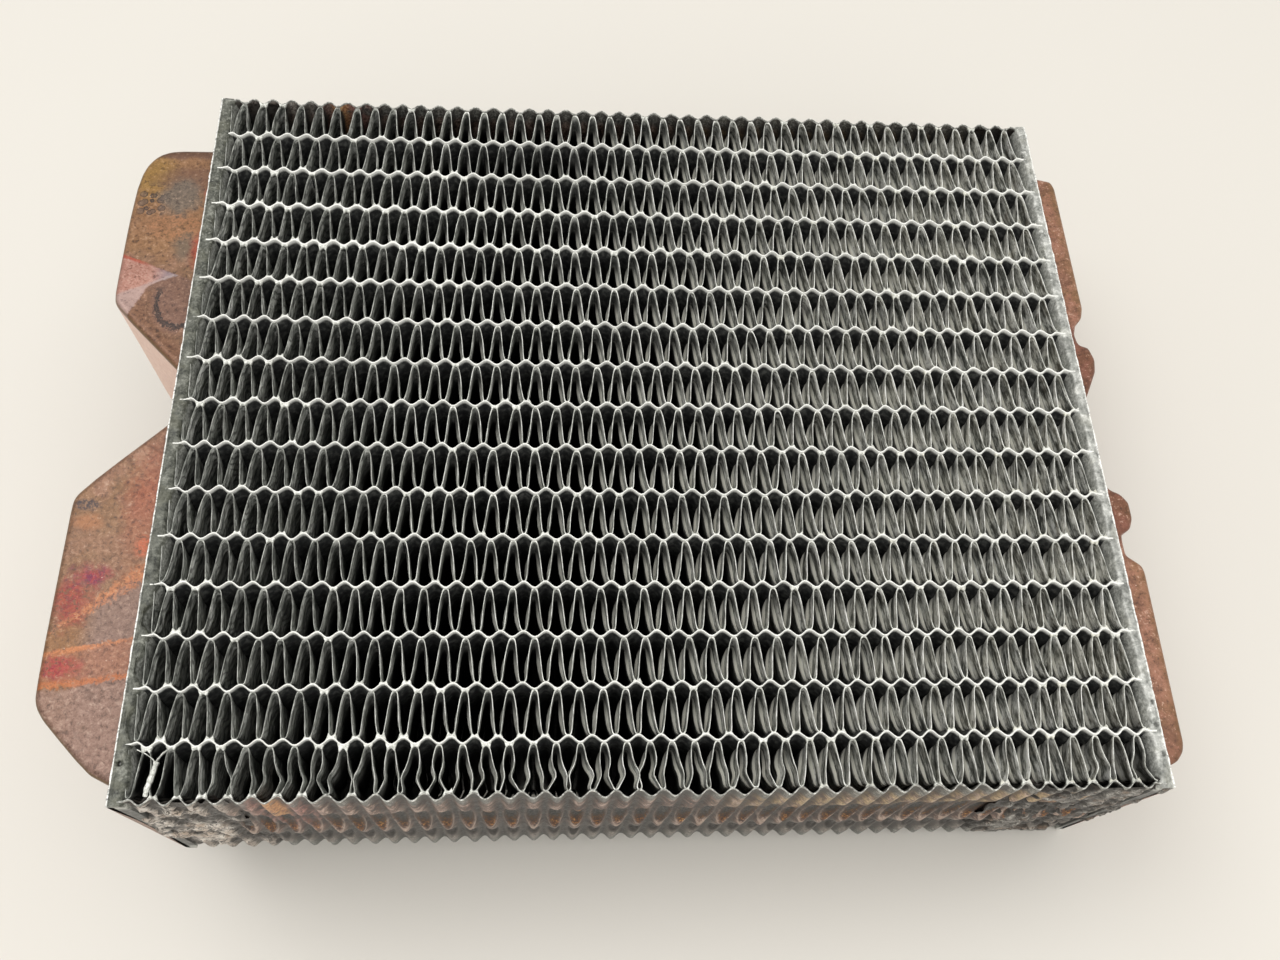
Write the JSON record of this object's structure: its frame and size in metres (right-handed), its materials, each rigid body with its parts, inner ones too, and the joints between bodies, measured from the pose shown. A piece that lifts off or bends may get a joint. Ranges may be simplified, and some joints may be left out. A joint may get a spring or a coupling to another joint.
{
  "type": "car heater-core radiator",
  "caption": "Small soldered copper and brass car heater core: wavy ribbon tubes and folded fins between two header plates, with end tanks and rear hose stubs.",
  "frame": {"origin": "centre of the bounding box's bottom face: the plane of the hose stub ends, 17 mm behind the rear air face", "axes": "+Z out of the front air face, +X along the tubes from the port tanks to the return tank, +Y across the tubes"},
  "size_m": [0.2098, 0.157, 0.067],
  "materials": {
    "tinned_tube": "brass ribbon dipped in solder, satin grey with bright edges",
    "tinned_fin": "thin folded fin, dull dark solder grey",
    "side_brass": "tarnished brass ribbon with copper and grey patches",
    "tinned_header": "solder-coated, lumpy satin grey",
    "tank_copper": "satin copper with heat tint in brown, orange and rose",
    "stub_copper": "satin drawn copper tube",
    "solder": "lumpy satin solder"
  },
  "bodies": {
    "root": {"water_tube_01": "tinned_tube", "water_tube_02": "tinned_tube", "water_tube_03": "tinned_tube", "water_tube_04": "tinned_tube", "water_tube_05": "tinned_tube", "water_tube_06": "tinned_tube", "water_tube_07": "tinned_tube", "water_tube_08": "tinned_tube", "water_tube_09": "tinned_tube", "water_tube_10": "tinned_tube", "water_tube_11": "tinned_tube", "water_tube_12": "tinned_tube", "water_tube_13": "tinned_tube", "water_tube_14": "tinned_tube", "water_tube_15": "tinned_tube", "fin_strip_01": "tinned_fin", "fin_strip_02": "tinned_fin", "fin_strip_03": "tinned_fin", "fin_strip_04": "tinned_fin", "fin_strip_05": "tinned_fin", "fin_strip_06": "tinned_fin", "fin_strip_07": "tinned_fin", "fin_strip_08": "tinned_fin", "fin_strip_09": "tinned_fin", "fin_strip_10": "tinned_fin", "fin_strip_11": "tinned_fin", "fin_strip_12": "tinned_fin", "fin_strip_13": "tinned_fin", "fin_strip_14": "tinned_fin", "fin_strip_15": "tinned_fin", "fin_strip_16": "tinned_fin", "side_strip_upper": "side_brass", "side_strip_lower": "side_brass", "header_plate_left": "tinned_header", "header_plate_right": "tinned_header", "inlet_tank": "tank_copper", "outlet_tank": "tank_copper", "return_tank": "tank_copper", "inlet_stub": "stub_copper", "outlet_stub": "stub_copper", "inlet_collar": "solder", "outlet_collar": "solder", "corner_solder_lower_right": "solder", "corner_solder_lower_left": "solder", "corner_solder_upper_right": "solder", "corner_solder_upper_left": "solder"}
  },
  "joints": []
}
